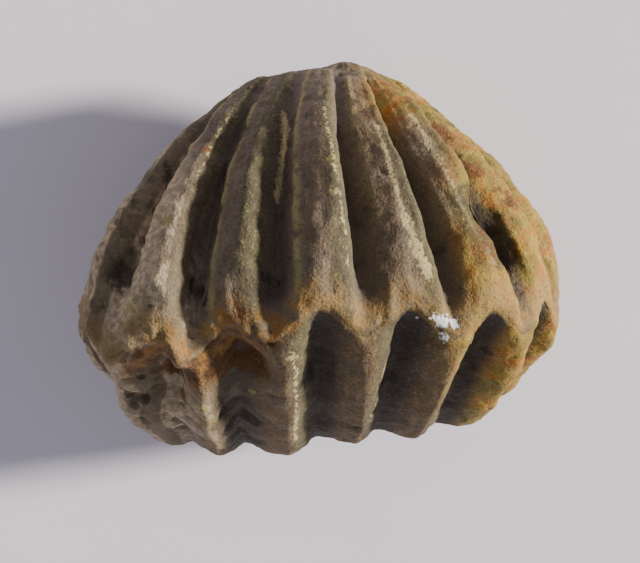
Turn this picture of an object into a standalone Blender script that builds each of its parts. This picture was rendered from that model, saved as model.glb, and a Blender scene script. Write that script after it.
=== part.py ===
"""A coarsely ribbed, nearly globular brachiopod turned to stone, both valves shut.

It is grown level, front margin towards -Y and beaks towards +Y, in millimetres,
and then laid on its back, the way it rests by itself, with the front margin up.
"""
import math

import bmesh
import bpy
import numpy as np

NAME = "brachiopod_fossil"
MILLIMETRE = 0.001

# The margin where the valves meet: (across, along, up), from the middle of the
# front, round the +X flank, past the hinge and back along the -X flank.
MARGIN = (
    (0.0, -9.5, 1.4), (4.9, -8.6, 0.8), (9.4, -7.5, 0.2), (11.8, -4.9, -0.8),
    (12.5, -1.3, -1.4), (10.0, 2.8, -2.0), (6.0, 6.7, -1.0), (2.5, 9.5, 0.2),
    (0.0, 10.5, 0.6), (-2.5, 9.5, 0.2), (-6.1, 6.6, -1.1), (-9.9, 2.7, -2.2),
    (-12.0, -1.5, -2.2), (-12.1, -5.4, -1.3), (-9.8, -8.2, -0.7), (-5.0, -9.0, -0.2),
)

# Upper valve: umbo, height of its arch, where along the valve the arch stands
# highest, how the arch falls off towards the flanks, and the umbo's overhang.
UPPER_UMBO = (0.4, 9.9, 1.7)
UPPER_HEIGHT = 7.1
UPPER_RISE = 0.29
UPPER_FALL = 0.52
UPPER_FLANK = 0.88
UPPER_OVERHANG = 1.0

# Lower valve: the same measures for its beak and bowl.
LOWER_BEAK = (0.4, 10.9, 1.3)
LOWER_DEPTH = 13.1
LOWER_RISE = 0.60
LOWER_FALL = 0.98
LOWER_FLANK = 1.0
LOWER_OVERHANG = 0.7

# Ribs: where the upper valve's crests, and the lower valve's grooves below them,
# stand at the margin, as shares of the way round; where they stand further in on
# the upper (1) and lower (-1) valve; and the growth at which they reach there.
RIB_CRESTS = (
    -0.338, -0.290, -0.239, -0.184, -0.105, -0.058, 0.003,
    0.061, 0.120, 0.186, 0.236, 0.278, 0.320,
)
INNER_CRESTS = {
    1: (-0.338, -0.291, -0.241, -0.188, -0.112, -0.068, -0.006,
        0.050, 0.094, 0.164, 0.218, 0.264, 0.310),
    -1: (-0.338, -0.291, -0.241, -0.188, -0.112, -0.068, -0.007,
         0.043, 0.094, 0.166, 0.218, 0.264, 0.310),
}
INNER_GROWTH = 0.55

# Rib profile of the upper (1) and lower (-1) valve: height over rib spacing; for
# some ribs, by number, how far across each its crest stands; width of the narrow
# grooves as a share of each flank; growths between which the ribs rise.
RIB_STEEPNESS = {1: 0.17, -1: 0.20}
CREST_LEAN = {1: ((1, 4, 6), (0.35, 0.62, 0.78)), -1: ((1, 5), (0.38, 0.62))}
GROOVE_WIDTH = {1: 0.36, -1: 0.60}
RIB_START = {1: (0.05, 0.75), -1: (0.2, 0.95)}
GROOVE_SHARPNESS = 1.5
CREST_ROUNDNESS = 0.15
RIB_EDGE_DROP = 0.045

# The zigzag of the margin: its height, how far it is straight-sided, and the
# growth from which the ribs turn into it; then the smooth hinge.
ZIGZAG_HEIGHT = 0.80
ZIGZAG_SHARPNESS = 0.35
ZIGZAG_START = 0.75
HINGE_START = 0.27
HINGE_END = 0.42

# Damage: (across, along, up, radius, depth) of broken hollows along the -X half
# of the margin, sunk towards the shell's middle; a negative depth is a lump.
# Wear: the same centre and radius, and the share of the rib height lost.
MIDDLE = (0.0, 0.0, -1.0)
SCARS = (
    (-8.1, -7.0, -2.3, 1.1, 0.8),
    (-7.7, -5.9, -4.1, 1.0, 0.6),
    (-5.2, -8.3, -1.2, 1.6, 1.2),
    (-3.4, -8.3, -1.7, 1.2, 0.9),
    (-6.8, -8.4, -1.4, 0.9, -0.5),
    (-9.2, -5.7, -4.8, 1.3, 0.5),
    (-9.0, -4.2, -6.0, 2.6, -0.65),
    (1.6, 8.0, 7.6, 1.1, -0.5),
    (-1.7, 6.9, 7.6, 1.8, -0.2),
    (11.4, -3.3, -3.6, 2.2, -0.35),
)
WEAR = (
    (-10.0, -6.6, -1.0, 3.6, 0.8),
    (-8.6, -4.0, -6.2, 2.4, 0.7),
)

# Mesh columns across each rib, standing on both valves' crests and grooves.
RIB_COLUMNS = (0.0, 0.14, 0.28, 0.5, 0.62, 0.8)
HINGE_COLUMNS = 18
ROWS = 52

# Rest: the shell lies on its back, front margin up, leaned by this many degrees
# from lying level on its lower valve; its lowest ribs are worn flat.
LEAN = 72.0
WORN_FLAT = 0.35

RIB_PITCH = 0.058
STEP = 1e-4


def margin_point(turn):
    """Point on the valve margin, a share of the way round it."""
    knots = np.array(MARGIN)
    count = len(knots)
    place = (turn % 1.0) * count
    index = np.floor(place).astype(int) % count
    t = (place - np.floor(place))[:, None]
    before, start = knots[index - 1], knots[index]
    end, after = knots[(index + 1) % count], knots[(index + 2) % count]
    slope = (end - before) * t
    bend = (2 * before - 5 * start + 4 * end - after) * t**2
    twist = (3 * start - before - 3 * end + after) * t**3
    return 0.5 * (2 * start + slope + bend + twist)


def hinge_fade(turn):
    """1 over the ribbed front and sides, 0 past the hinge."""
    centred = np.abs((turn + 0.5) % 1.0 - 0.5)
    fade = np.clip((HINGE_END - centred) / (HINGE_END - HINGE_START), 0, 1)
    return fade * fade * (3 - 2 * fade)


def rib_turn(side, place, growth):
    """Share of the way round of a place counted in ribs, at that growth."""
    count = np.arange(len(RIB_CRESTS) + 1)
    outer = np.interp(place, count, (*RIB_CRESTS, 1 + RIB_CRESTS[0]))
    inner = np.interp(place, count, (*INNER_CRESTS[side], 1 + INNER_CRESTS[side][0]))
    back = np.clip((1 - growth) / (1 - INNER_GROWTH), 0, 1)
    return outer + (inner - outer) * back


def rib_wave(place, turn):
    """+1 on an upper crest, -1 in an upper groove, 0 past the hinge."""
    phase = place % 1.0
    round_wave = np.cos(2 * np.pi * phase)
    sharp_wave = 4 * np.abs(phase - 0.5) - 1
    return (round_wave + (sharp_wave - round_wave) * ZIGZAG_SHARPNESS) * hinge_fade(turn)


def broad_wave(side, place, turn):
    """+1 on the valve's own broad, leaning crests, -1 in its narrow grooves."""
    rib = np.floor(place + 0.5) if side > 0 else np.floor(place)
    across = place + 0.5 - rib if side > 0 else place - rib
    lean = np.interp(rib, *CREST_LEAN[side])
    out = np.where(across < lean, across / lean, (1 - across) / (1 - lean))
    flat_top = 1 - 2 * np.exp(-(out / GROOVE_WIDTH[side])**GROOVE_SHARPNESS)
    round_top = -np.cos(np.pi * out)
    return (flat_top + (round_top - flat_top) * CREST_ROUNDNESS) * hinge_fade(turn)


def rib_strength(side, growth):
    """How far the ribs have risen, 0 near the umbo and 1 near the margin."""
    start, full = RIB_START[side]
    t = np.clip((growth - start) / (full - start), 0, 1)
    return t * t * (3 - 2 * t)


def valve_measures(side):
    if side > 0:
        return (np.array(UPPER_UMBO), UPPER_HEIGHT, UPPER_RISE, UPPER_FALL,
                UPPER_FLANK, UPPER_OVERHANG)
    return (np.array(LOWER_BEAK), LOWER_DEPTH, LOWER_RISE, LOWER_FALL,
            LOWER_FLANK, LOWER_OVERHANG)


def arch(side, turn, growth, offset):
    """Smooth valve surface between its umbo (growth 0) and the margin (growth 1)."""
    umbo, height, rise, fall, flank, overhang = valve_measures(side)
    reach = margin_point(turn) - umbo
    length = umbo[1] - MARGIN[0][1]
    top = rise / (rise + fall)
    lift = (growth / top)**rise * ((1 - growth) / (1 - top))**fall
    steep = height * lift / length
    share = np.clip(-reach[:, 1] / length, 0.001, None)
    size = np.sqrt(growth**2 + steep**2)
    curl = overhang * 2.72 * growth**0.7 * (1 - growth)**5 * np.clip(share, 0, 1)
    x = umbo[0] + size * reach[:, 0]
    y = umbo[1] + growth * reach[:, 1] + side * offset * steep + curl
    z = umbo[2] + growth * reach[:, 2] + side * height * lift * share**flank
    return np.stack([x, y, z + growth * offset], axis=1)


def rib_frame(side, turn, growth):
    """Unit normal of the smooth valve and how far apart its ribs stand there."""
    flat = np.zeros_like(turn)
    near = np.clip(growth, 3 * STEP, 1 - 3 * STEP)
    along = arch(side, turn, near + STEP, flat) - arch(side, turn, near - STEP, flat)
    across = arch(side, turn + STEP, near, flat) - arch(side, turn - STEP, near, flat)
    normal = np.cross(along, across) * side
    area = np.maximum(np.linalg.norm(normal, axis=1), 1e-15)
    spacing = RIB_PITCH * area / np.linalg.norm(along, axis=1) / (2 * STEP)
    return normal / area[:, None], spacing


def falloff(points, centre, radius):
    """1 at a feature's centre, fading smoothly to 0 away from it."""
    distance = np.linalg.norm(points - np.array(centre), axis=1) / radius
    return np.exp(-distance**2)


def valve_surface(side, place, growth):
    """Ribbed valve surface; crests of one valve face grooves of the other."""
    turn = rib_turn(side, place, growth)
    broad = side * broad_wave(side, place, turn)
    strength = rib_strength(side, growth)
    close = np.clip((growth - ZIGZAG_START) / (1 - ZIGZAG_START), 0, 1)**2
    zigzag = broad + (rib_wave(place, turn) - broad) * close
    body = arch(side, turn, growth, ZIGZAG_HEIGHT * zigzag * strength)
    normal, spacing = rib_frame(side, turn, growth)
    kept = np.ones_like(turn)
    for *centre, radius, loss in WEAR:
        kept = kept * (1 - loss * falloff(body, centre, radius))
    relief = strength * (1 - np.exp(-(1 - growth) / RIB_EDGE_DROP)) * kept
    height = side * RIB_STEEPNESS[side] * spacing * broad * relief
    skin = body + normal * height[:, None]
    inward = np.array(MIDDLE) - skin
    inward = inward / np.linalg.norm(inward, axis=1)[:, None]
    sunk = sum(depth * falloff(skin, centre, radius) for *centre, radius, depth in SCARS)
    return skin + inward * sunk[:, None]


def column_places():
    """Places of the mesh columns, counted in ribs: on each rib, then past the hinge."""
    ribs = len(RIB_CRESTS) - 1
    ribbed = np.add.outer(np.arange(ribs), RIB_COLUMNS).ravel()
    hinge = ribs + np.arange(HINGE_COLUMNS) / HINGE_COLUMNS
    return np.concatenate([ribbed, hinge])


def shell_point_cloud(columns, rows):
    """Surface point for every column and row number of the sphere."""
    places = column_places()[columns]
    depth = rows / ROWS
    points = np.zeros((len(columns), 3))
    for side, chosen in ((1, depth <= 0.5), (-1, depth > 0.5)):
        share = np.where(side > 0, depth, 1 - depth)[chosen] * 2
        growth = (1 - np.cos(np.pi * share)) / 2
        points[chosen] = valve_surface(side, places[chosen], growth)
    return points


def laid_down(points):
    """Lay the shell on its back and wear its lowest crests flat at z = 0."""
    angle = math.radians(LEAN)
    y = points[:, 1] * math.cos(angle) + points[:, 2] * math.sin(angle)
    z = points[:, 2] * math.cos(angle) - points[:, 1] * math.sin(angle)
    z = np.maximum(z - z.min() - WORN_FLAT, 0.0)
    x = points[:, 0] - (points[:, 0].max() + points[:, 0].min()) / 2
    y = y - (y.max() + y.min()) / 2
    return np.stack([x, y, z], axis=1)


def clear_scene():
    for item in list(bpy.data.objects):
        bpy.data.objects.remove(item, do_unlink=True)


def stone_material():
    material = bpy.data.materials.new("fossil_stone")
    material.use_nodes = True
    shader = material.node_tree.nodes["Principled BSDF"]
    shader.inputs["Base Color"].default_value = (0.20, 0.15, 0.10, 1.0)
    shader.inputs["Roughness"].default_value = 0.9
    return material


def build_shell(collection):
    """Grow a sphere's grid into the shell: poles at the umbones, equator the margin."""
    columns = len(column_places())
    grid = bmesh.new()
    bmesh.ops.create_uvsphere(grid, u_segments=columns, v_segments=ROWS, radius=1.0)
    bmesh.ops.recalc_face_normals(grid, faces=grid.faces)
    start = np.array([vertex.co[:] for vertex in grid.verts])
    azimuth = np.arctan2(start[:, 1], start[:, 0]) / (2 * np.pi)
    polar = np.arccos(np.clip(start[:, 2], -1, 1)) / np.pi
    column = np.rint(azimuth * columns).astype(int) % columns
    row = np.rint(polar * ROWS).astype(int)
    grown = laid_down(shell_point_cloud(column, row)) * MILLIMETRE
    for vertex, place in zip(grid.verts, grown):
        vertex.co = place
    mesh = bpy.data.meshes.new(NAME)
    grid.to_mesh(mesh)
    grid.free()
    shell = bpy.data.objects.new(NAME, mesh)
    shell.data.materials.append(stone_material())
    collection.objects.link(shell)
    return shell


def main():
    clear_scene()
    parts = bpy.data.collections.new(NAME)
    bpy.context.scene.collection.children.link(parts)
    build_shell(parts)


main()
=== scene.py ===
"""Looks of the brachiopod fossil: a finely carved shell, its stone colours, light and camera.

Every place on the fossil is given in millimetres in the shell's growing position: +X to the
right, the front margin towards -Y and the upper valve up. The mesh is laid down at the end.
"""
import itertools
import math

import bmesh
import bpy
import numpy as np
from mathutils import Matrix, Vector


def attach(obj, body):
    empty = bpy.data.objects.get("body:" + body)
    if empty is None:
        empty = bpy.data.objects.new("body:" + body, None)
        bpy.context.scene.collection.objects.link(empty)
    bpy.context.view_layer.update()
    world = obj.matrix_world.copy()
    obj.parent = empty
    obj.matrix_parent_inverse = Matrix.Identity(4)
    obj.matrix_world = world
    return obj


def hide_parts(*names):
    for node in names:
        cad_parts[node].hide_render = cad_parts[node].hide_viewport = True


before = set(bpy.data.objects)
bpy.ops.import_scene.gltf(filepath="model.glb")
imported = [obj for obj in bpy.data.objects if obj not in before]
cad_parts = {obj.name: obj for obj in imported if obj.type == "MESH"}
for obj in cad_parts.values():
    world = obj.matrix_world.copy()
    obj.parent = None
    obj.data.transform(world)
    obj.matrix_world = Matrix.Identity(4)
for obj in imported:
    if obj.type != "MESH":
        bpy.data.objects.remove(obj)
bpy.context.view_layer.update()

NODE = "brachiopod_fossil"
MILLIMETRE = 0.001

# ---- The shell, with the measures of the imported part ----
# The margin where the valves meet: (across, along, up), from the middle of the
# front, round the +X flank, past the hinge and back along the -X flank.
MARGIN = (
    (0.0, -9.5, 1.4), (4.9, -8.6, 0.8), (9.4, -7.5, 0.2), (11.8, -4.9, -0.8),
    (12.5, -1.3, -1.4), (10.0, 2.8, -2.0), (6.0, 6.7, -1.0), (2.5, 9.5, 0.2),
    (0.0, 10.5, 0.6), (-2.5, 9.5, 0.2), (-6.1, 6.6, -1.1), (-9.9, 2.7, -2.2),
    (-12.0, -1.5, -2.2), (-12.1, -5.4, -1.3), (-9.8, -8.2, -0.7), (-5.0, -9.0, -0.2),
)
# Each valve: its umbo, the height of its arch, how the arch rises from the umbo, falls to the
# margin and drops to the flanks, and how far the umbo overhangs.
UPPER_VALVE = {"umbo": (0.4, 9.9, 1.7), "height": 7.1, "rise": 0.29, "fall": 0.52,
               "flank": 0.88, "overhang": 1.0}
LOWER_VALVE = {"umbo": (0.4, 10.9, 1.3), "height": 13.1, "rise": 0.60, "fall": 0.98,
               "flank": 1.0, "overhang": 0.7}
# How the overhang's curl starts at the umbo and fades along the valve, and its strength.
CURL_START = 0.7
CURL_FADE = 5
CURL_STRENGTH = 2.72
LEAST_SHARE = 0.001

# Ribs: where the upper valve's crests, and the lower valve's grooves below them,
# stand at the margin, as shares of the way round; where they stand further in on
# the upper (1) and lower (-1) valve; the growth at which they reach there; and
# the ribs' usual spacing.
RIB_CRESTS = (
    -0.338, -0.290, -0.239, -0.184, -0.105, -0.058, 0.003,
    0.061, 0.120, 0.186, 0.236, 0.278, 0.320,
)
INNER_CRESTS = {
    1: (-0.338, -0.291, -0.241, -0.188, -0.112, -0.068, -0.006,
        0.050, 0.094, 0.164, 0.218, 0.264, 0.310),
    -1: (-0.338, -0.291, -0.241, -0.188, -0.112, -0.068, -0.007,
         0.043, 0.094, 0.166, 0.218, 0.264, 0.310),
}
INNER_GROWTH = 0.55
RIB_PITCH = 0.058

# Rib profile of the upper (1) and lower (-1) valve: height over rib spacing; for
# some ribs, by number, how far across each its crest stands; width of the narrow
# grooves as a share of each flank; growths between which the ribs rise.
RIB_STEEPNESS = {1: 0.17, -1: 0.20}
CREST_LEAN = {1: ((1, 4, 6), (0.35, 0.62, 0.78)), -1: ((1, 5), (0.38, 0.62))}
GROOVE_WIDTH = {1: 0.36, -1: 0.60}
RIB_START = {1: (0.05, 0.75), -1: (0.2, 0.95)}
GROOVE_SHARPNESS = 1.5
CREST_ROUNDNESS = 0.15
RIB_EDGE_DROP = 0.045

# The zigzag of the margin: its height, how far it is straight-sided, and the
# growth from which the ribs turn into it; then the smooth hinge.
ZIGZAG_HEIGHT = 0.80
ZIGZAG_SHARPNESS = 0.35
ZIGZAG_START = 0.75
HINGE_START = 0.27
HINGE_END = 0.42

# Damage: (across, along, up, radius, depth) of broken hollows, sunk towards the
# shell's middle; a negative depth is a lump. Wear: the same centre and radius,
# and the share of the rib height lost.
MIDDLE = (0.0, 0.0, -1.0)
SCARS = (
    (-8.1, -7.0, -2.3, 1.1, 0.8),
    (-7.7, -5.9, -4.1, 1.0, 0.6),
    (-5.2, -8.3, -1.2, 1.6, 1.2),
    (-3.4, -8.3, -1.7, 1.2, 0.9),
    (-6.8, -8.4, -1.4, 0.9, -0.5),
    (-9.2, -5.7, -4.8, 1.3, 0.5),
    (-9.0, -4.2, -6.0, 2.6, -0.65),
    (1.6, 8.0, 7.6, 1.1, -0.5),
    (-1.7, 6.9, 7.6, 1.8, -0.2),
    (11.4, -3.3, -3.6, 2.2, -0.35),
)
WEAR = (
    (-10.0, -6.6, -1.0, 3.6, 0.8),
    (-8.6, -4.0, -6.2, 2.4, 0.7),
)

# Rest: the shell lies on its back, leaned by this many degrees from lying level on
# its lower valve, and its lowest ribs are worn flat by so many mm.
LEAN = 72.0
WORN_FLAT = 0.35

# Small step and least area for the slopes of the surface.
STEP = 1e-4
LEAST_AREA = 1e-15


def smooth_step(value, start, end):
    """0 up to the start, 1 from the end on, and smooth between; the start may be the higher."""
    t = np.clip((value - start) / (end - start), 0, 1)
    return t * t * (3 - 2 * t)


def margin_point(turn):
    """Point on the valve margin, a share of the way round it."""
    knots = np.array(MARGIN)
    count = len(knots)
    place = (turn % 1.0) * count
    index = np.floor(place).astype(int) % count
    t = (place - np.floor(place))[:, None]
    before, start = knots[index - 1], knots[index]
    end, after = knots[(index + 1) % count], knots[(index + 2) % count]
    slope = (end - before) * t
    bend = (2 * before - 5 * start + 4 * end - after) * t**2
    twist = (3 * start - before - 3 * end + after) * t**3
    return 0.5 * (2 * start + slope + bend + twist)


def hinge_fade(turn):
    """1 over the ribbed front and sides, 0 past the hinge."""
    centred = np.abs((turn + 0.5) % 1.0 - 0.5)
    return smooth_step(centred, HINGE_END, HINGE_START)


def rib_turn(side, place, growth):
    """Share of the margin where a place counted in ribs lies at that growth."""
    count = np.arange(len(RIB_CRESTS) + 1)
    outer = np.interp(place, count, (*RIB_CRESTS, 1 + RIB_CRESTS[0]))
    inner = np.interp(place, count, (*INNER_CRESTS[side], 1 + INNER_CRESTS[side][0]))
    back = np.clip((1 - growth) / (1 - INNER_GROWTH), 0, 1)
    return outer + (inner - outer) * back


def rib_wave(place, turn):
    """+1 on an upper crest, -1 in an upper groove, 0 past the hinge."""
    phase = place % 1.0
    round_wave = np.cos(2 * np.pi * phase)
    sharp_wave = 4 * np.abs(phase - 0.5) - 1
    return (round_wave + (sharp_wave - round_wave) * ZIGZAG_SHARPNESS) * hinge_fade(turn)


def rib_across(side, place):
    """How far across its rib a place is, from groove to groove, and the rib's number."""
    rib = np.floor(place + 0.5) if side > 0 else np.floor(place)
    return (place + 0.5 - rib if side > 0 else place - rib), rib


def broad_wave(side, place, turn):
    """+1 on the valve's own broad, leaning crests, -1 in its narrow grooves."""
    across, rib = rib_across(side, place)
    lean = np.interp(rib, *CREST_LEAN[side])
    out = np.where(across < lean, across / lean, (1 - across) / (1 - lean))
    flat_top = 1 - 2 * np.exp(-(out / GROOVE_WIDTH[side])**GROOVE_SHARPNESS)
    round_top = -np.cos(np.pi * out)
    return (flat_top + (round_top - flat_top) * CREST_ROUNDNESS) * hinge_fade(turn)


def rib_strength(side, growth):
    """How far the ribs have grown, 0 at the umbo and 1 at the margin."""
    return smooth_step(growth, *RIB_START[side])


def arch(side, turn, growth, offset):
    """Smooth valve surface between its umbo (growth 0) and the margin (growth 1)."""
    valve = UPPER_VALVE if side > 0 else LOWER_VALVE
    umbo = np.array(valve["umbo"])
    reach = margin_point(turn) - umbo
    length = umbo[1] - MARGIN[0][1]
    rise, fall, height = valve["rise"], valve["fall"], valve["height"]
    top = rise / (rise + fall)
    lift = (growth / top)**rise * ((1 - growth) / (1 - top))**fall
    steep = height * lift / length
    share = np.clip(-reach[:, 1] / length, LEAST_SHARE, None)
    size = np.sqrt(growth**2 + steep**2)
    curl = valve["overhang"] * CURL_STRENGTH * growth**CURL_START * (1 - growth)**CURL_FADE
    curl = curl * np.clip(share, 0, 1)
    x = umbo[0] + size * reach[:, 0]
    y = umbo[1] + growth * reach[:, 1] + side * offset * steep + curl
    z = umbo[2] + growth * reach[:, 2] + side * height * lift * share**valve["flank"]
    return np.stack([x, y, z + growth * offset], axis=1)


def rib_frame(side, turn, growth):
    """Unit normal of the smooth valve and the spacing of its ribs."""
    flat = np.zeros_like(turn)
    near = np.clip(growth, 3 * STEP, 1 - 3 * STEP)
    along = arch(side, turn, near + STEP, flat) - arch(side, turn, near - STEP, flat)
    across = arch(side, turn + STEP, near, flat) - arch(side, turn - STEP, near, flat)
    normal = np.cross(along, across) * side
    area = np.maximum(np.linalg.norm(normal, axis=1), LEAST_AREA)
    spacing = RIB_PITCH * area / np.linalg.norm(along, axis=1) / (2 * STEP)
    return normal / area[:, None], spacing


def falloff(points, centre, radius):
    """1 at a feature's centre, fading smoothly to 0 away from it."""
    distance = np.linalg.norm(points - np.array(centre), axis=1) / radius
    return np.exp(-distance**2)


def valve_surface(side, place, growth):
    """Ribbed valve surface; crests of one valve face grooves of the other."""
    turn = rib_turn(side, place, growth)
    broad = side * broad_wave(side, place, turn)
    strength = rib_strength(side, growth)
    close = np.clip((growth - ZIGZAG_START) / (1 - ZIGZAG_START), 0, 1)**2
    zigzag = broad + (rib_wave(place, turn) - broad) * close
    body = arch(side, turn, growth, ZIGZAG_HEIGHT * zigzag * strength)
    normal, spacing = rib_frame(side, turn, growth)
    kept = np.ones_like(turn)
    for *centre, radius, loss in WEAR:
        kept = kept * (1 - loss * falloff(body, centre, radius))
    relief = strength * (1 - np.exp(-(1 - growth) / RIB_EDGE_DROP)) * kept
    height = side * RIB_STEEPNESS[side] * spacing * broad * relief
    skin = body + normal * height[:, None]
    inward = np.array(MIDDLE) - skin
    inward = inward / np.linalg.norm(inward, axis=1)[:, None]
    sunk = sum(depth * falloff(skin, place, radius) for *place, radius, depth in SCARS)
    return skin + inward * sunk[:, None]


# ---- Mesh grid: columns run from umbo to umbo, rows go round ----
COLUMNS_PER_RIB = 28
HINGE_COLUMNS = 56
ROWS = 252
ARC_PLACES = 2001

# Across each rib: between which shares of it the edge strip rises and falls, which is raised
# and painted with shade where the lamp lights it, and where the thin pale line runs, partly
# a painted highlight.
STRIP_RISE = {1: (0.62, 0.72), -1: (0.60, 0.70)}
STRIP_FALL = {1: (0.86, 0.95), -1: (0.84, 0.94)}
LINE_PLACE = 0.30
LINE_WIDTH = 0.045

# How far the ribs' edges wander, in rib widths; the length of the waves along them in mm;
# the growth short of the margin where they come to rest; and a rib's width there in mm.
WANDER = 0.045
WANDER_LENGTH = 1.7
WANDER_END = 0.08
RIB_WIDTH = 3.9

# Noise that follows the ribs is taken this many mm up on the upper valve and down on the
# lower one, so that the two differ, and the flow runs so many mm round the shell.
VALVE_SHIFT = 40.0
FLOW_ROUND = 70.0


def column_places():
    """Places of the mesh columns, counted in ribs: evenly across each, then past the hinge."""
    ribs = len(RIB_CRESTS) - 1
    ribbed = np.arange(ribs * COLUMNS_PER_RIB) / COLUMNS_PER_RIB
    hinge = ribs + np.arange(HINGE_COLUMNS) / HINGE_COLUMNS
    return np.concatenate([ribbed, hinge])


def arc_table(side):
    """Growth values and the arc length in mm from the umbo that each one reaches."""
    growth = (1 - np.cos(np.linspace(0, np.pi, ARC_PLACES))) / 2
    line = arch(side, np.zeros_like(growth), growth, np.zeros_like(growth))
    steps = np.linalg.norm(np.diff(line, axis=0), axis=1)
    return growth, np.concatenate([[0.0], np.cumsum(steps)])


def sphere_grid():
    """A sphere's mesh with each vertex's column and row number."""
    columns = len(column_places())
    shape = bmesh.new()
    bmesh.ops.create_uvsphere(shape, u_segments=columns, v_segments=ROWS, radius=1.0)
    bmesh.ops.recalc_face_normals(shape, faces=shape.faces)
    mesh = bpy.data.meshes.new("carved_shell")
    shape.to_mesh(mesh)
    shape.free()
    places = read_vectors(mesh.vertices, "co")
    column = np.rint(np.arctan2(places[:, 1], places[:, 0]) / (2 * np.pi) * columns)
    row = np.rint(np.arccos(np.clip(places[:, 2], -1, 1)) / np.pi * ROWS)
    return mesh, column.astype(int) % columns, row.astype(int)


def read_vectors(items, name):
    """A vector property of every item as an array with one row each."""
    values = np.empty(len(items) * 3)
    items.foreach_get(name, values)
    return values.reshape(-1, 3)


def wandering_place(side, place, growth, arc):
    """Places of a row's columns, counted in ribs, with the ribs' edges made uneven."""
    spot = np.stack([place * RIB_WIDTH, arc, np.full(len(arc), side * VALVE_SHIFT)], axis=1)
    calm = np.clip((1 - growth) / WANDER_END, 0, 1) * hinge_fade(rib_turn(side, place, growth))
    return place + WANDER * rough(spot, WANDER_LENGTH, octaves=3) * calm


def valve_skin(side, depth, columns):
    """One valve's points on the ribbed shell, with the measures and masks of each."""
    growths, lengths = arc_table(side)
    arc = (depth if side > 0 else 1 - depth) * 2 * lengths[-1]
    growth = np.interp(arc, lengths, growths)
    place = wandering_place(side, columns, growth, arc)
    turn = rib_turn(side, place, growth)
    across = rib_across(side, place)[0]
    strip = smooth_step(across, *STRIP_RISE[side]) * (1 - smooth_step(across, *STRIP_FALL[side]))
    line = np.exp(-((across - LINE_PLACE) / LINE_WIDTH)**2)
    return {
        "co": valve_surface(side, place, growth),
        "side": np.full(len(arc), side),
        "turn": turn,
        "growth": growth,
        "arc": arc,
        "edge": side * (lengths[-1] - arc),
        "crest": broad_wave(side, place, turn),
        "strip": strip * hinge_fade(turn),
        "line": line * hinge_fade(turn),
    }


def shell_skin(column, row):
    """Both valves' points, measures and masks, in the order of the mesh's vertices."""
    columns = column_places()[column]
    skin = {}
    for side, chosen in ((1, row * 2 <= ROWS), (-1, row * 2 > ROWS)):
        for name, values in valve_skin(side, row[chosen] / ROWS, columns[chosen]).items():
            whole = skin.setdefault(name, np.zeros((len(row), *values.shape[1:])))
            whole[chosen] = values
    return skin


# ---- Noise in millimetres ----
LATTICE_SIZE = 32
LATTICE_SEED = 417
LATTICE = np.random.default_rng(LATTICE_SEED).uniform(-1, 1, (LATTICE_SIZE,) * 3)
CELL_SEED = 83
CELL_CENTRES = np.random.default_rng(CELL_SEED).uniform(0.1, 0.9, (*LATTICE.shape, 3))
# Keeps every place on the lattice positive, and sets the layers of rough() apart.
LATTICE_START = 1000.0
LAYER_SHIFT = 17.3
# The slope of the cells' walls, and a distance longer than any between neighbouring cells.
WALL_SLOPE = 2
FAR_AWAY = 9.0


def noise(points, size):
    """Smooth random value from -1 to 1 whose lumps are about `size` mm across."""
    place = points / size + LATTICE_START
    low = np.floor(place).astype(int)
    t = smooth_step(place - low, 0, 1)
    total = np.zeros(len(points))
    for corner in itertools.product((0, 1), repeat=3):
        step = np.array(corner[::-1])
        share = np.prod(np.where(step == 1, t, 1 - t), axis=1)
        x, y, z = ((low + step) % LATTICE_SIZE).T
        total = total + share * LATTICE[x, y, z]
    return total


def rough(points, size, octaves):
    """Layered noise, each layer half the size and strength of the last."""
    total = np.zeros(len(points))
    for level in range(octaves):
        total = total + noise(points + LAYER_SHIFT * level, size / 2**level) / 2**level
    return total


def cell_walls(points, size):
    """0 on the walls between random cells of that size, rising to about 1 inside them."""
    place = points / size + LATTICE_START
    low = np.floor(place).astype(int)
    nearest = np.full(len(points), FAR_AWAY)
    second = np.full(len(points), FAR_AWAY)
    for step in itertools.product((-1, 0, 1), repeat=3):
        x, y, z = ((low + step) % LATTICE_SIZE).T
        distance = np.linalg.norm(low + step + CELL_CENTRES[x, y, z] - place, axis=1)
        second = np.minimum(second, np.maximum(nearest, distance))
        nearest = np.minimum(nearest, distance)
    return np.clip((second - nearest) * WALL_SLOPE, 0, 1)


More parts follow.
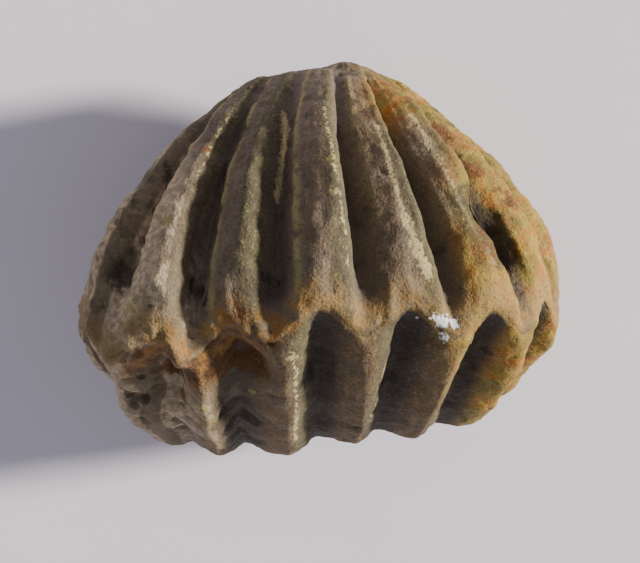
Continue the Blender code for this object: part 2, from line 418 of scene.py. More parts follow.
# ---- Places of the fossil's marks ----
# Each spot is (valve, place in ribs, growth, radius in mm, strength).
SPOTS = {
    # Dark spots: painted shade in the grooves and broken hollows, with dark dirt too in the lower valve's
    # arches.
    "dark": (
        (1, 3.4, 0.80, 0.9, 0.5), (1, 3.45, 0.91, 0.7, 0.5), (1, 4.0, 0.97, 0.6, 0.5),
        (-1, 3.6, 0.89, 0.7, 1.0), (1, 4.45, 0.90, 0.9, 0.6), (1, 4.7, 0.95, 0.5, 0.5),
        (-1, 5.1, 0.74, 0.9, 0.9), (-1, 5.1, 0.62, 0.9, 0.7), (1, 5.45, 0.92, 0.8, 0.55),
        (-1, 5.9, 0.86, 0.9, 0.7), (-1, 7.1, 0.87, 0.9, 0.5), (-1, 8.2, 0.91, 0.8, 0.5),
        (1, 8.40, 0.82, 1.1, 0.75), (1, 8.42, 0.87, 1.2, 0.75), (1, 8.46, 0.92, 0.8, 0.7),
        (1, 8.40, 0.72, 0.6, 0.8), (1, 8.75, 0.60, 0.5, 0.7), (1, 3.0, 0.88, 0.5, 0.5),
        (-1, 4.0, 0.90, 0.4, 0.8), (-1, 3.75, 0.93, 0.4, 0.8), (-1, 4.78, 0.86, 0.7, 0.7),
        (-1, 4.84, 0.76, 0.9, 0.9), (-1, 4.88, 0.68, 0.8, 0.9), (-1, 4.92, 0.60, 0.8, 0.9),
    ),
    "rust": (
        (-1, 3.6, 0.90, 0.6, 0.7), (-1, 3.95, 0.91, 0.7, 0.9), (-1, 4.2, 0.86, 0.6, 0.9),
        (-1, 4.4, 0.97, 0.8, 1.0), (-1, 4.8, 0.94, 0.8, 0.9), (-1, 5.25, 0.93, 1.1, 1.0),
        (1, 4.2, 0.60, 0.45, 0.9), (-1, 5.1, 0.91, 0.8, 0.9), (1, 8.8, 0.66, 0.9, 0.8),
        (1, 8.7, 0.50, 0.9, 0.8), (1, 8.3, 0.42, 0.9, 0.7), (1, 9.3, 0.93, 0.8, 0.9),
        (1, 9.2, 0.80, 0.9, 0.7), (-1, 9.4, 0.62, 1.1, 0.6), (1, 5.2, 0.99, 0.8, 0.8),
    ),
    "cream": (
        (1, 6.25, 0.82, 0.4, 0.5), (1, 7.2, 0.93, 0.4, 0.9),
        (-1, 5.7, 0.96, 0.35, 0.8), (-1, 6.85, 0.83, 0.4, 0.8), (-1, 4.55, 0.90, 0.5, 0.8),
        (-1, 5.2, 0.86, 0.35, 0.8), (1, 7.6, 0.39, 0.8, 0.6), (1, 3.95, 0.82, 0.5, 0.9),
        (1, 3.8, 0.97, 0.6, 0.8),
    ),
    "olive": (
        (1, 8.3, 0.76, 0.7, 0.9), (1, 8.68, 0.86, 0.7, 1.0), (1, 7.65, 0.37, 0.9, 0.6),
        (-1, 4.55, 0.85, 0.6, 1.0), (1, 8.8, 0.96, 0.6, 0.7), (1, 9.0, 0.86, 0.6, 0.6),
        (1, 6.3, 0.74, 0.6, 0.6),
    ),
    "chip": (
        (1, 7.38, 0.997, 0.46, 0.95), (1, 7.29, 0.998, 0.30, 0.85), (1, 7.52, 0.995, 0.28, 0.85),
        (-1, 7.40, 0.992, 0.30, 0.85), (-1, 7.12, 0.985, 0.20, 0.7),
    ),
}
# Pale veins along the ribs' edges: width in mm, strength, and (valve, place in ribs, growth)
# of the points they run through.
# The strongest vein's heart is painted gold as a highlight.
VEINS = (
    (0.30, 1.0, ((1, 5.44, 0.44), (1, 5.50, 0.54), (1, 5.47, 0.63), (1, 5.46, 0.72))),
    (0.14, 0.70, ((1, 6.24, 0.52), (1, 6.26, 0.61), (1, 6.29, 0.75), (1, 6.31, 0.87), (1, 6.34, 0.95))),
    (0.17, 0.7, ((1, 7.12, 0.58), (1, 7.12, 0.68), (1, 7.09, 0.77), (1, 7.10, 0.83), (1, 7.12, 0.88))),
    (0.34, 0.8, ((1, 7.12, 0.87), (1, 7.15, 0.90), (1, 7.20, 0.93), (1, 7.28, 0.96))),
    (0.20, 0.7, ((1, 8.10, 0.50), (1, 8.05, 0.65), (1, 8.03, 0.80), (1, 8.05, 0.89), (1, 8.16, 0.95))),
    (0.14, 0.50, ((1, 4.22, 0.40), (1, 4.26, 0.56), (1, 4.25, 0.68), (1, 4.16, 0.82), (1, 4.06, 0.90))),
    (0.17, 0.7, ((-1, 5.70, 0.97), (-1, 5.72, 0.90), (-1, 5.69, 0.80), (-1, 5.70, 0.68))),
    (0.15, 0.7, ((-1, 6.80, 0.92), (-1, 6.82, 0.84), (-1, 6.80, 0.74))),
)
# Hollows broken into the shell: valve, place in ribs, growth, radius and depth in mm.
HOLLOWS = (
    (1, 8.26, 0.84, 1.6, 0.85), (1, 8.52, 0.80, 1.0, 0.40), (1, 8.52, 0.86, 1.0, 0.50),
    (1, 8.42, 0.91, 1.0, 0.45), (1, 3.4, 0.88, 0.8, 0.25), (-1, 4.80, 0.82, 0.9, 0.30),
    (-1, 4.6, 0.96, 0.4, 0.20), (1, 6.62, 0.22, 0.5, 0.25),
)


def shell_place(side, place, growth):
    """The point on the ribbed shell at a place counted in ribs and a growth."""
    return valve_surface(side, np.array([place]), np.array([growth]))[0]


def near_line(points, line, width):
    """1 on a line through the given points, fading to 0 about twice the width away."""
    best = np.full(len(points), np.inf)
    for start, end in zip(line, line[1:]):
        way = end - start
        share = np.clip((points - start) @ way / (way @ way), 0, 1)
        distance = np.linalg.norm(points - start - share[:, None] * way, axis=1)
        best = np.minimum(best, distance)
    return np.exp(-(best / width)**2)


def vein_mask(points):
    """The strongest of the pale veins at each point."""
    layers = []
    for width, power, stops in VEINS:
        line = [shell_place(*stop) for stop in stops]
        layers.append(power * near_line(points, line, width))
    return np.max(layers, axis=0)


def spot_mask(points, name):
    """The strongest of a mark's spots at each point."""
    layers = []
    for *place, radius, power in SPOTS[name]:
        layers.append(power * falloff(points, shell_place(*place), radius))
    return np.max(layers, axis=0)


# ---- Weathered relief, sizes and heights in mm ----
# The worn left end: (across, along, up, radius). Lumps and grain all over, and the share
# by which the grain is higher on the worn end.
WORN_LEFT = ((-10.0, -6.0, 0.0, 5.0), (-8.6, -4.5, -6.0, 4.0), (-9.5, -3.0, 4.0, 3.5))
LUMP_SIZE = 2.6
LUMP_HEIGHT = 0.13
GRAIN_SIZE = 0.45
GRAIN_HEIGHT = 0.055
WORN_GRAIN = 0.6

# The network of ridges between pits on the worn end, the share of its height that stands
# proud of the shell, and the bends in its walls.
NETWORK_SIZE = 1.5
NETWORK_HEIGHT = 0.26
NETWORK_LEVEL = 0.4
BEND_SIZE = 1.1
BEND_WIDTH = 0.45
BEND_SHIFTS = (0.0, 31.7, 63.1)

# Small pits all over, and between which values of the noise they open.
PIT_SIZE = 0.75
PIT_DEPTH = 0.10
PIT_SHIFT = 7.0
PIT_OPENS = (0.48, 0.80)

# Raised rib edges and thin lines: how long their gaps are, between which values of the
# noise they close, and the growths between which they rise.
RIM_HEIGHT = 0.07
RIM_GAPS = 0.9
RIM_CLOSES = (-0.4, 0.4)
RIM_START = (0.1, 0.4)
LINE_HEIGHT = 0.10
LINE_GAPS = 2.1
LINE_CLOSES = (-0.5, 0.2)
LINE_START = (0.15, 0.4)

# Growth lines round the valves, and the seam line between them.
RING_PITCH = 0.62
RING_HEIGHT = 0.012
RING_WANDER = 0.25
RING_START = (0.5, 0.9)
SEAM_WIDTH = 0.16
SEAM_DEPTH = 0.12


def worn_mask(points):
    """1 on the worn left end, where the ribs are eaten into a network of pits."""
    return np.max([falloff(points, place, radius) for *place, radius in WORN_LEFT], axis=0)


def worn_surface(points, wobble):
    """Height of the lumps, the grain, the worn end's network and the small pits."""
    bent = points + BEND_WIDTH * wobble
    worn = worn_mask(points)
    height = LUMP_HEIGHT * rough(points, LUMP_SIZE, octaves=3)
    height += GRAIN_HEIGHT * rough(points, GRAIN_SIZE, octaves=2) * (1 + WORN_GRAIN * worn)
    height += NETWORK_HEIGHT * worn * (NETWORK_LEVEL - cell_walls(bent, NETWORK_SIZE))
    height -= PIT_DEPTH * smooth_step(noise(bent + PIT_SHIFT, PIT_SIZE), *PIT_OPENS)
    return height


def fine_relief(skin):
    """Height of the weathered roughness over the smooth ribbed shell."""
    points, growth = skin["co"], skin["growth"]
    wobble = np.stack([noise(points + shift, BEND_SIZE) for shift in BEND_SHIFTS], axis=1)
    height = worn_surface(points, wobble)
    rim = skin["strip"] * smooth_step(rough(points, RIM_GAPS, octaves=2), *RIM_CLOSES)
    height += RIM_HEIGHT * rim * smooth_step(growth, *RIM_START)
    line_gaps = smooth_step(rough(points, LINE_GAPS, octaves=2), *LINE_CLOSES)
    line = skin["line"] * (skin["side"] > 0) * line_gaps
    height += LINE_HEIGHT * line * smooth_step(growth, *LINE_START)
    for *place, radius, depth in HOLLOWS:
        height -= depth * falloff(points, shell_place(*place), radius)
    rings = np.sin(2 * np.pi * (skin["arc"] + RING_WANDER * wobble[:, 0]) / RING_PITCH)
    height += RING_HEIGHT * rings * smooth_step(growth, *RING_START)
    height -= SEAM_DEPTH * np.exp(-(skin["edge"] / SEAM_WIDTH)**2)
    return height


# ---- The mesh ----
def laid_down_matrix(skin_points):
    """Turns the growing shell onto its back, centred, with its worn lowest ribs on the floor."""
    turn = np.array(Matrix.Rotation(math.radians(-LEAN), 3, "X"))
    laid = skin_points @ turn.T
    low, high = laid.min(axis=0), laid.max(axis=0)
    shift = Vector((-(low[0] + high[0]) / 2, -(low[1] + high[1]) / 2, -low[2] - WORN_FLAT))
    return Matrix.Translation(shift) @ Matrix.Rotation(math.radians(-LEAN), 4, "X")


def moved(points, matrix):
    """Points in millimetres carried by a 4x4 matrix."""
    grid = np.array(matrix)
    return points @ grid[:3, :3].T + grid[:3, 3]


def write_mask(mesh, name, values):
    """Keeps one number a vertex for the material to read."""
    layer = mesh.attributes.new(name, "FLOAT", "POINT")
    layer.data.foreach_set("value", values.astype(np.float32))


def write_marks(mesh, skin, relief):
    """Masks for the material: ribs, seam, relief and every kind of mark."""
    points = skin["co"]
    for name in ("crest", "strip", "line", "edge", "growth"):
        write_mask(mesh, name, skin[name])
    write_mask(mesh, "across", points[:, 0])
    write_mask(mesh, "height", relief)
    write_mask(mesh, "worn", worn_mask(points))
    write_mask(mesh, "streak", vein_mask(points))
    for name in SPOTS:
        write_mask(mesh, name, spot_mask(points, name))
    flow = np.stack([skin["turn"] * FLOW_ROUND, skin["arc"], skin["side"] * VALVE_SHIFT], axis=1)
    layer = mesh.attributes.new("flow", "FLOAT_VECTOR", "POINT")
    layer.data.foreach_set("vector", flow.astype(np.float32).ravel())


def carve_shell(material):
    """The fossil's fine mesh and the matrix that lays the shell down."""
    mesh, column, row = sphere_grid()
    skin = shell_skin(column, row)
    mesh.vertices.foreach_set("co", skin["co"].ravel())
    mesh.update()
    normals = read_vectors(mesh.vertices, "normal")
    relief = fine_relief(skin)
    lay = laid_down_matrix(skin["co"])
    resting = moved(skin["co"] + normals * relief[:, None], lay)
    resting[:, 2] = np.maximum(resting[:, 2], 0.0)
    mesh.vertices.foreach_set("co", (resting * MILLIMETRE).ravel())
    write_marks(mesh, skin, relief)
    mesh.polygons.foreach_set("use_smooth", np.ones(len(mesh.polygons), dtype=bool))
    mesh.materials.append(material)
    mesh.update()
    fossil = bpy.data.objects.new("carved_shell", mesh)
    bpy.context.scene.collection.objects.link(fossil)
    return fossil, lay


# ---- Stone material ----
# Colours, as linear red, green and blue.
BROWN = (0.155, 0.100, 0.054)
GREY_BROWN = (0.175, 0.130, 0.086)
LOWER_BROWN = (0.155, 0.098, 0.044)
PURPLE_BROWN = (0.155, 0.112, 0.088)
# Painted shade on the upper valve's left half.
LEFT_SHADE_BROWN = (0.092, 0.068, 0.050)
OLIVE_DARK = (0.102, 0.078, 0.052)
# Painted shade, with dark dirt, in the lower valve's arches.
ARCH_DIRT_AND_SHADE = (0.058, 0.045, 0.031)
DARK = (0.028, 0.021, 0.013)
VEIN_CREAM = (0.420, 0.340, 0.165)
# Painted highlight on the strongest vein's heart.
VEIN_HIGHLIGHT_GOLD = (0.680, 0.500, 0.240)
CREAM = (0.350, 0.295, 0.110)
TAN = (0.240, 0.160, 0.062)
GREY_TAN = (0.300, 0.230, 0.145)
PALE_TAN = (0.520, 0.410, 0.270)
GOLD = (0.340, 0.220, 0.028)
BAND_ORANGE = (0.310, 0.146, 0.030)
ORANGE = (0.380, 0.150, 0.012)
RUST = (0.140, 0.058, 0.018)
OLIVE = (0.190, 0.160, 0.032)
# Painted shade over the lamp-lit rib edge strips.
RIM_BROWN = (0.070, 0.054, 0.030)
RIM_OLIVE = (0.098, 0.085, 0.038)
RIM_TAN = (0.120, 0.088, 0.052)
MOSS = (0.085, 0.078, 0.016)
CHIP_WHITE = (0.82, 0.80, 0.76)

# Sizes of the stone's grains in mm, and the fibres' sizes round the shell and along its ribs.
COARSE_GRAIN = 2.2
MIDDLE_GRAIN = 0.9
FINE_GRAIN = 0.32
SPECK_GRAIN = 0.16
FIBRE_GRAIN = (0.35, 2.6, 1.0)
GRAIN_ROUGHNESS = 0.6

# Gloss of the stone, with its roughness as a fade by grain, and its finest bumps in mm.
STONE_SPECULAR = 0.35
STONE_ROUGHNESS = (0.3, 0.7, 0.95, 0.72)
BUMP_HEIGHT = 0.12
BUMP_STRENGTH = 0.6
SPECK_BUMP = 0.6


class Recipe:
    """A material's node tree, built one step at a time."""

    def __init__(self, name):
        self.material = bpy.data.materials.new(name)
        self.material.use_nodes = True
        self.tree = self.material.node_tree
        self.shader = self.tree.nodes["Principled BSDF"]
        self.place = self.step("ShaderNodeTexCoord").outputs["Object"]

    def step(self, kind, inputs=(), **settings):
        """Adds a node, its settings, and its inputs by name or number."""
        node = self.tree.nodes.new(kind)
        for name, value in settings.items():
            setattr(node, name, value)
        for socket, value in dict(inputs).items():
            if isinstance(value, bpy.types.NodeSocket):
                self.tree.links.new(value, node.inputs[socket])
            else:
                node.inputs[socket].default_value = value
        return node

    def mask(self, name):
        """A number that the mesh carries at each point."""
        return self.step("ShaderNodeAttribute", attribute_name=name).outputs["Fac"]

    def flow(self):
        """Millimetres round the shell and along its ribs."""
        return self.step("ShaderNodeAttribute", attribute_name="flow").outputs["Vector"]

    def grain(self, size, detail=4.0, place=None, unit=MILLIMETRE, stretch=(1, 1, 1)):
        """Noise from 0 to 1 with lumps of about that size in mm."""
        spot = self.place if place is None else place
        scaled = self.step("ShaderNodeVectorMath", {0: spot, 1: [1 / (size * unit * s) for s in stretch]},
                           operation="MULTIPLY").outputs["Vector"]
        return self.step("ShaderNodeTexNoise", {"Vector": scaled, "Scale": 1.0, "Detail": detail,
                                                "Roughness": GRAIN_ROUGHNESS}).outputs["Fac"]

    def ramp(self, value, low, high, start=0.0, end=1.0):
        """Smoothly from start to end as the value goes from low to high."""
        return self.step("ShaderNodeMapRange", {0: value, 1: low, 2: high, 3: start, 4: end},
                         interpolation_type="SMOOTHSTEP").outputs[0]

    def times(self, first, second):
        """The product of two numbers."""
        return self.step("ShaderNodeMath", {0: first, 1: second}, operation="MULTIPLY").outputs[0]

    def plus(self, first, second):
        """The sum of two numbers."""
        return self.step("ShaderNodeMath", {0: first, 1: second}, operation="ADD").outputs[0]

    def mix(self, amount, first, second):
        """The second colour over the first by that amount; sockets 6 and 7 are its colours."""
        colours = [c if isinstance(c, bpy.types.NodeSocket) else (*c, 1.0) for c in (first, second)]
        node = self.step("ShaderNodeMix", {0: amount, 6: colours[0], 7: colours[1]}, data_type="RGBA")
        return node.outputs[2]


# A fade is what Recipe.ramp takes after its value: where it begins and ends, and the amounts
# there if they aren't 0 and 1. A SIDE fade goes by mm across the shell with +X to the right, a
# FROM_SEAM fade by mm from the seam with the upper valve positive, and a PATCHES fade by grain.
UPPER_FROM_SEAM = (-0.2, 0.4)
MARK_BREAKS = (0.25, 0.75, -0.28, 0.28)
MARK_EDGE = (0.32, 0.62)


class StoneRecipe(Recipe):
    """The stone's node tree, with the grains and masks that its layers of colour share."""

    def __init__(self):
        super().__init__("weathered_stone")
        self.coarse = self.grain(COARSE_GRAIN)
        self.middle = self.grain(MIDDLE_GRAIN)
        self.fine = self.grain(FINE_GRAIN)
        self.speck = self.grain(SPECK_GRAIN, detail=2.0)
        self.across = self.mask("across")
        self.crest = self.mask("crest")
        self.edge = self.mask("edge")
        self.height = self.mask("height")
        self.rim = self.mask("strip")
        self.upper = self.ramp(self.edge, *UPPER_FROM_SEAM)

    def ragged(self, name, grain, strength):
        """A mark's mask with its edge broken up by the grain."""
        broken = self.plus(self.mask(name), self.ramp(grain, *MARK_BREAKS))
        return self.ramp(broken, *MARK_EDGE, 0.0, strength)


GREY_PATCHES = (0.38, 0.62)
PALE_FIBRES = (0.5, 0.72, 0.0, 0.45)
DARK_FIBRES = (0.46, 0.30, 0.0, 0.55)
SHADE_SIDE = (-4.0, 4.0)
SHADE_PATCHES = (0.50, 0.64, 0.0, 0.7)
GROOVE_CREST = (0.45, -0.6)


def rib_faces(stone):
    """Mottled brown faces with fibres along the ribs and patches of the shade colour; grooves with painted
    shade, and dark dirt too in the lower valve's arches.
    """
    fibre = stone.grain(1.0, place=stone.flow(), unit=1.0, stretch=FIBRE_GRAIN)
    face = stone.mix(stone.ramp(stone.coarse, *GREY_PATCHES), BROWN, GREY_BROWN)
    face = stone.mix(stone.upper, LOWER_BROWN, face)
    colour = stone.mix(stone.ramp(fibre, *PALE_FIBRES), face, GREY_TAN)
    colour = stone.mix(stone.ramp(fibre, *DARK_FIBRES), colour, OLIVE_DARK)
    # shade is the colour of painted shade in the upper valve's grooves; the same colour also lies in random
    # patches on the faces.
    shade = stone.mix(stone.ramp(stone.across, *SHADE_SIDE), PURPLE_BROWN, OLIVE_DARK)
    colour = stone.mix(stone.ramp(stone.middle, *SHADE_PATCHES), colour, shade)
    # Painted shade in the grooves, darkest in the lower valve's arches under the seam, where it is also dark
    # dirt.
    groove_dirt_and_shade = stone.mix(stone.upper, ARCH_DIRT_AND_SHADE, shade)
    return stone.mix(stone.ramp(stone.crest, *GROOVE_CREST), colour, groove_dirt_and_shade)


# Where the painted shade lies on the upper valve's left half.
LEFT_SHADE_SIDE = (1.5, -2.5)
LEFT_SHADE_FROM_SEAM = (1.5, 3.5)
LEFT_SHADE_PATCHES = (0.3, 0.6, 0.75, 0.4)


def painted_shade_left_half(stone, colour):
    """Painted shade: a duller, darker brown over the upper valve's left half, away from the seam, the half
    turned from the lamp.
    """
    left_shade = stone.times(stone.ramp(stone.across, *LEFT_SHADE_SIDE), stone.upper)
    left_shade = stone.times(left_shade, stone.ramp(stone.edge, *LEFT_SHADE_FROM_SEAM))
    return stone.mix(stone.times(left_shade, stone.ramp(stone.coarse, *LEFT_SHADE_PATCHES)), colour, LEFT_SHADE_BROWN)


OLIVE_RIM_PATCHES = (0.40, 0.60)
TAN_RIM_SIDE = (-4.0, -7.0)
RIM_PATCHES = (0.25, 0.5, 0.55, 1.0)
LINE_PATCHES = (0.35, 0.55)
LINE_SIDE = (4.0, 1.0, 0.0, 0.9)


def rims_and_lines(stone, colour):
    """Rib edge strips painted darker, as shade over the flanks that the lamp lights, tan towards the left;
    and thin pale lines on the upper valve, partly a painted highlight.
    """
    # Painted shade: the edge strips, which the lamp lights, are coloured darker.
    lit_flank_shade = stone.mix(stone.ramp(stone.middle, *OLIVE_RIM_PATCHES), RIM_BROWN, RIM_OLIVE)
    lit_flank_shade = stone.mix(stone.ramp(stone.across, *TAN_RIM_SIDE), lit_flank_shade, RIM_TAN)
    colour = stone.mix(stone.times(stone.rim, stone.ramp(stone.fine, *RIM_PATCHES)), colour, lit_flank_shade)
    # Partly a painted highlight: thin pale lines where the crests catch the light.
    pale_line_and_highlight = stone.times(stone.times(stone.mask("line"), stone.upper), stone.ramp(stone.middle, *LINE_PATCHES))
    return stone.mix(stone.times(pale_line_and_highlight, stone.ramp(stone.across, *LINE_SIDE)), colour, CREAM)


TAN_PATCHES = (0.4, 0.6)
WORN_SIDE = (-5.5, -8.5)
WORN_PATCHES = (0.3, 0.55, 0.35, 0.9)
WORN_STRENGTH = 1.2
WORN_OFF_RIMS = (0.2, 0.9, 1.0, 0.12)
WORN_RIDGES = (-0.12, 0.02, 0.25, 0.95)


def worn_left_end(stone, colour):
    """Pale tan ridges where the left end is worn into a network."""
    tan = stone.mix(stone.ramp(stone.fine, *TAN_PATCHES), PALE_TAN, GREY_TAN)
    left = stone.times(stone.ramp(stone.across, *WORN_SIDE), stone.ramp(stone.coarse, *WORN_PATCHES))
    network = stone.plus(stone.mask("worn"), stone.times(left, WORN_STRENGTH))
    network = stone.times(network, stone.ramp(stone.rim, *WORN_OFF_RIMS))
    return stone.mix(stone.times(network, stone.ramp(stone.height, *WORN_RIDGES)), colour, tan)


ORANGE_PATCHES = (0.45, 0.58)
OLIVE_PATCHES = (0.40, 0.55)
MOSSY_PATCHES = (0.50, 0.60, 0.0, 0.75)
SHOULDER_SIDE = (5.5, 8.5)
SHOULDER_CREST = (-0.6, 0.2)
SHOULDER_PATCHES = (0.3, 0.6, 0.55, 0.95)
CROWN_SIDE = (1.5, 4.0)
CROWN_GROWTH = (0.62, 0.40)
CROWN_PATCHES = (0.3, 0.6, 0.6, 1.0)


def warm_right_side(stone, colour):
    """Gold, orange and moss on the right shoulder's crests and over the crown."""
    warm = stone.mix(stone.ramp(stone.middle, *ORANGE_PATCHES), GOLD, ORANGE)
    mossy = stone.mix(stone.ramp(stone.middle, *OLIVE_PATCHES), MOSS, OLIVE)
    warm = stone.mix(stone.ramp(stone.coarse, *MOSSY_PATCHES), warm, mossy)
    shoulder = stone.times(stone.ramp(stone.across, *SHOULDER_SIDE), stone.ramp(stone.crest, *SHOULDER_CREST))
    colour = stone.mix(stone.times(shoulder, stone.ramp(stone.coarse, *SHOULDER_PATCHES)), colour, warm)
    crown = stone.ramp(stone.mask("growth"), *CROWN_GROWTH)
    crown = stone.times(stone.times(stone.ramp(stone.across, *CROWN_SIDE), crown), stone.upper)
    return stone.mix(stone.times(crown, stone.ramp(stone.coarse, *CROWN_PATCHES)), colour, warm)


STAIN_LEFT_SIDE = (-8.5, -6.5)
STAIN_RIGHT_SIDE = (0.5, -2.0, 0.35, 1.0)
STAIN_PATCHES = (0.42, 0.58)
BAND_TOP_FROM_SEAM = (2.4, 1.0)
BAND_FOOT_FROM_SEAM = (-0.5, 0.1)
BAND_PATCHES = (0.35, 0.58, 0.3, 0.9)


def seam_band(stone, colour):
    """Tan and orange stain along the upper valve's margin."""
    orange = stone.times(stone.ramp(stone.across, *STAIN_LEFT_SIDE),
                         stone.ramp(stone.across, *STAIN_RIGHT_SIDE))
    stain = stone.mix(stone.times(orange, stone.ramp(stone.middle, *STAIN_PATCHES)), TAN, BAND_ORANGE)
    band = stone.times(stone.ramp(stone.edge, *BAND_TOP_FROM_SEAM),
                       stone.ramp(stone.edge, *BAND_FOOT_FROM_SEAM))
    return stone.mix(stone.times(band, stone.ramp(stone.middle, *BAND_PATCHES)), colour, stain)


CORNER_LEFT_SIDE = (-11.0, -9.0)
CORNER_RIGHT_SIDE = (-2.0, -3.5)
CORNER_TOP_FROM_SEAM = (0.3, -0.2)
CORNER_FOOT_FROM_SEAM = (-3.8, -1.6)
CORNER_PATCHES = (0.38, 0.52, 0.3, 0.9)


def burnt_corner(stone, colour):
    """Rust and orange below the seam on the left."""
    burnt = stone.mix(stone.ramp(stone.middle, *STAIN_PATCHES), RUST, BAND_ORANGE)
    below = stone.times(stone.ramp(stone.edge, *CORNER_FOOT_FROM_SEAM),
                        stone.ramp(stone.edge, *CORNER_TOP_FROM_SEAM))
    corner = stone.times(stone.ramp(stone.across, *CORNER_LEFT_SIDE),
                         stone.ramp(stone.across, *CORNER_RIGHT_SIDE))
    corner = stone.times(corner, stone.ramp(stone.coarse, *CORNER_PATCHES))
    return stone.mix(stone.times(below, corner), colour, burnt)


DARK_STRENGTH = 0.94
RUST_STRENGTH = 0.85
RUST_PATCHES = (0.55, 0.85)
CREAM_STRENGTH = 0.8
OLIVE_STRENGTH = 0.7
VEIN_STRENGTH = 0.9
VEIN_SPECKS = (0.36, 0.48, 0.6, 1.0)
# Where on the veins the painted highlight begins.
VEIN_HIGHLIGHT_HEART = (0.75, 0.9)


def spots_and_veins(stone, colour):
    """Dark spots of painted shade and dirt, rusty, cream and olive spots, and the pale veins along the ribs'
    edges, the strongest with a painted highlight at its heart.
    """
    rust = stone.mix(stone.ramp(stone.fine, *RUST_PATCHES), RUST, ORANGE)
    # Painted shade: the dark spots in the grooves and hollows, with dark dirt too in the lower arches.
    colour = stone.mix(stone.ragged("dark", stone.middle, DARK_STRENGTH), colour, DARK)
    colour = stone.mix(stone.ragged("rust", stone.middle, RUST_STRENGTH), colour, rust)
    colour = stone.mix(stone.ragged("cream", stone.fine, CREAM_STRENGTH), colour, CREAM)
    colour = stone.mix(stone.ragged("olive", stone.fine, OLIVE_STRENGTH), colour, OLIVE)
    vein = stone.ragged("streak", stone.fine, VEIN_STRENGTH)
    # Painted highlight: the strongest vein's heart turns gold, as a lit ridge.
    pale_vein_and_highlight = stone.mix(stone.ramp(stone.mask("streak"), *VEIN_HIGHLIGHT_HEART), VEIN_CREAM, VEIN_HIGHLIGHT_GOLD)
    return stone.mix(stone.times(vein, stone.ramp(stone.speck, *VEIN_SPECKS)), colour, pale_vein_and_highlight)


DEEP_PIT_SHADE = (-0.05, -0.25, 0.0, 0.7)
GLINT_SPECKS = (0.59, 0.72, 0.0, 0.5)
GLINT_CREST = (-0.8, 0.3, 0.15, 1.0)
DARK_SPECKS = (0.42, 0.30, 0.0, 0.55)
CHIP_STRENGTH = 1.0


def pits_and_glints(stone, colour):
    """Painted shade in the pits and hollows, darker the deeper they sink; cream glints, dark specks and the
    white chip at the seam.
    """
    # Painted shade: the lower the relief, the darker the colour.
    colour = stone.mix(stone.ramp(stone.height, *DEEP_PIT_SHADE), colour, DARK)
    glint = stone.times(stone.ramp(stone.speck, *GLINT_SPECKS), stone.ramp(stone.crest, *GLINT_CREST))
    colour = stone.mix(glint, colour, CREAM)
    colour = stone.mix(stone.ramp(stone.speck, *DARK_SPECKS), colour, DARK)
    return stone.mix(stone.ragged("chip", stone.fine, CHIP_STRENGTH), colour, CHIP_WHITE)


def stone_material():
    """Weathered brown stone: its layers of colour, some of them painted shade and highlight, its gloss and
    its finest bumps.
    """
    stone = StoneRecipe()
    colour = rib_faces(stone)
    for layer in (painted_shade_left_half, rims_and_lines, worn_left_end, warm_right_side, seam_band,
                  burnt_corner, spots_and_veins, pits_and_glints):
        colour = layer(stone, colour)
    bumps = stone.plus(stone.fine, stone.times(stone.speck, SPECK_BUMP))
    bump = stone.step("ShaderNodeBump", {"Strength": BUMP_STRENGTH, "Height": bumps,
                                         "Distance": BUMP_HEIGHT * MILLIMETRE})
    sockets, link = stone.shader.inputs, stone.tree.links.new
    sockets["Specular IOR Level"].default_value = STONE_SPECULAR
    link(colour, sockets["Base Color"])
    link(stone.ramp(stone.fine, *STONE_ROUGHNESS), sockets["Roughness"])
    link(bump.outputs["Normal"], sockets["Normal"])
    return stone.material


# ---- Floor, light and camera ----
# The paper's colour, its blotches' share of that brightness and size in mm, and its roughness;
# then the sheet's width in metres and its squares each way.
PAPER = (0.890, 0.835, 0.910)
PAPER_SHADE = 0.94
PAPER_GRAIN = 9.0
PAPER_ROUGHNESS = 0.95
FLOOR_SIZE = 2.0
FLOOR_SQUARES = 4


def paper_floor():
    """A wide sheet of pale pinkish grey paper under the fossil."""
    recipe = Recipe("pale_paper")
    tone = recipe.mix(recipe.grain(PAPER_GRAIN), PAPER, tuple(PAPER_SHADE * part for part in PAPER))
    recipe.tree.links.new(tone, recipe.shader.inputs["Base Color"])
    recipe.shader.inputs["Roughness"].default_value = PAPER_ROUGHNESS
    shape = bmesh.new()
    bmesh.ops.create_grid(shape, x_segments=FLOOR_SQUARES, y_segments=FLOOR_SQUARES,
                          size=FLOOR_SIZE / 2)
    mesh = bpy.data.meshes.new("paper_floor")
    shape.to_mesh(mesh)
    shape.free()
    mesh.materials.append(recipe.material)
    floor = bpy.data.objects.new("paper_floor", mesh)
    bpy.context.scene.collection.objects.link(floor)


# The lamp's direction from the fossil, its distance and size in metres and its power in watts.
SUN_DIRECTION = Vector((0.928, 0.147, 0.342))
SUN_DISTANCE = 2.0
SUN_SIZE = 0.27
SUN_POWER = 117.0
SUN_COLOUR = (1.0, 0.95, 0.88)
SKY_COLOUR = (0.86, 0.87, 1.0)
SKY_STRENGTH = 0.39


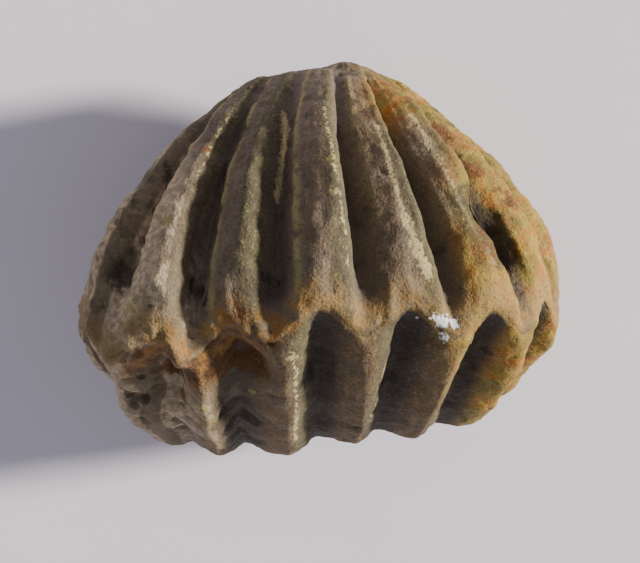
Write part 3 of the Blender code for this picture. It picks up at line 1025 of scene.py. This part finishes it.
def studio_light():
    """A warm soft lamp low on the right and a dim bluish sky."""
    light = bpy.data.lights.new("low_sun", "AREA")
    light.shape = "DISK"
    light.size = SUN_SIZE
    light.energy = SUN_POWER
    light.color = SUN_COLOUR
    lamp = bpy.data.objects.new("low_sun", light)
    lamp.location = SUN_DIRECTION.normalized() * SUN_DISTANCE
    lamp.rotation_euler = SUN_DIRECTION.to_track_quat("Z", "Y").to_euler()
    bpy.context.scene.collection.objects.link(lamp)
    world = bpy.data.worlds.new("sky")
    world.use_nodes = True
    sky = world.node_tree.nodes["Background"]
    sky.inputs["Color"].default_value = (*SKY_COLOUR, 1.0)
    sky.inputs["Strength"].default_value = SKY_STRENGTH
    bpy.context.scene.world = world


# The camera round the shell's growing position: degrees round it, up and rolled, and mm away.
CAMERA_AZIMUTH = 1.75
CAMERA_ELEVATION = 26.8
CAMERA_ROLL = -1.66
CAMERA_DISTANCE = 220.0
SENSOR_WIDTH = 36.0
CLIP_START = 0.01

# The photograph's frame, its scale at the fossil, and the pixel where the shell's origin lies.
IMAGE_WIDTH = 640
IMAGE_HEIGHT = 563
PIXELS_PER_MM = 18.94
SHELL_ORIGIN_PIXEL = (318.5, 263.6)


def photo_camera(lay):
    """The camera at the photograph's angle, set by the shell's growing position."""
    azimuth, elevation = math.radians(CAMERA_AZIMUTH), math.radians(CAMERA_ELEVATION)
    back = Vector((math.sin(azimuth) * math.cos(elevation),
                   -math.cos(azimuth) * math.cos(elevation), math.sin(elevation)))
    right = Vector((math.cos(azimuth), math.sin(azimuth), 0.0))
    roll = Matrix.Rotation(math.radians(CAMERA_ROLL), 3, back)
    right, up = roll @ right, roll @ back.cross(right)
    aside = (IMAGE_WIDTH / 2 - SHELL_ORIGIN_PIXEL[0]) / PIXELS_PER_MM
    above = (SHELL_ORIGIN_PIXEL[1] - IMAGE_HEIGHT / 2) / PIXELS_PER_MM
    place = back * CAMERA_DISTANCE + right * aside + up * above
    axes = Matrix((right, up, back)).transposed()
    pose = lay @ Matrix.Translation(place) @ axes.to_4x4()
    pose.translation *= MILLIMETRE
    lens = bpy.data.cameras.new("photo_camera")
    lens.sensor_width = SENSOR_WIDTH
    lens.lens = PIXELS_PER_MM * CAMERA_DISTANCE / IMAGE_WIDTH * SENSOR_WIDTH
    lens.clip_start = CLIP_START
    camera = bpy.data.objects.new("photo_camera", lens)
    camera.matrix_world = pose
    bpy.context.scene.collection.objects.link(camera)
    bpy.context.scene.camera = camera


fossil, laid_down = carve_shell(stone_material())
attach(fossil, "root")
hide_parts(NODE)
paper_floor()
studio_light()
photo_camera(laid_down)
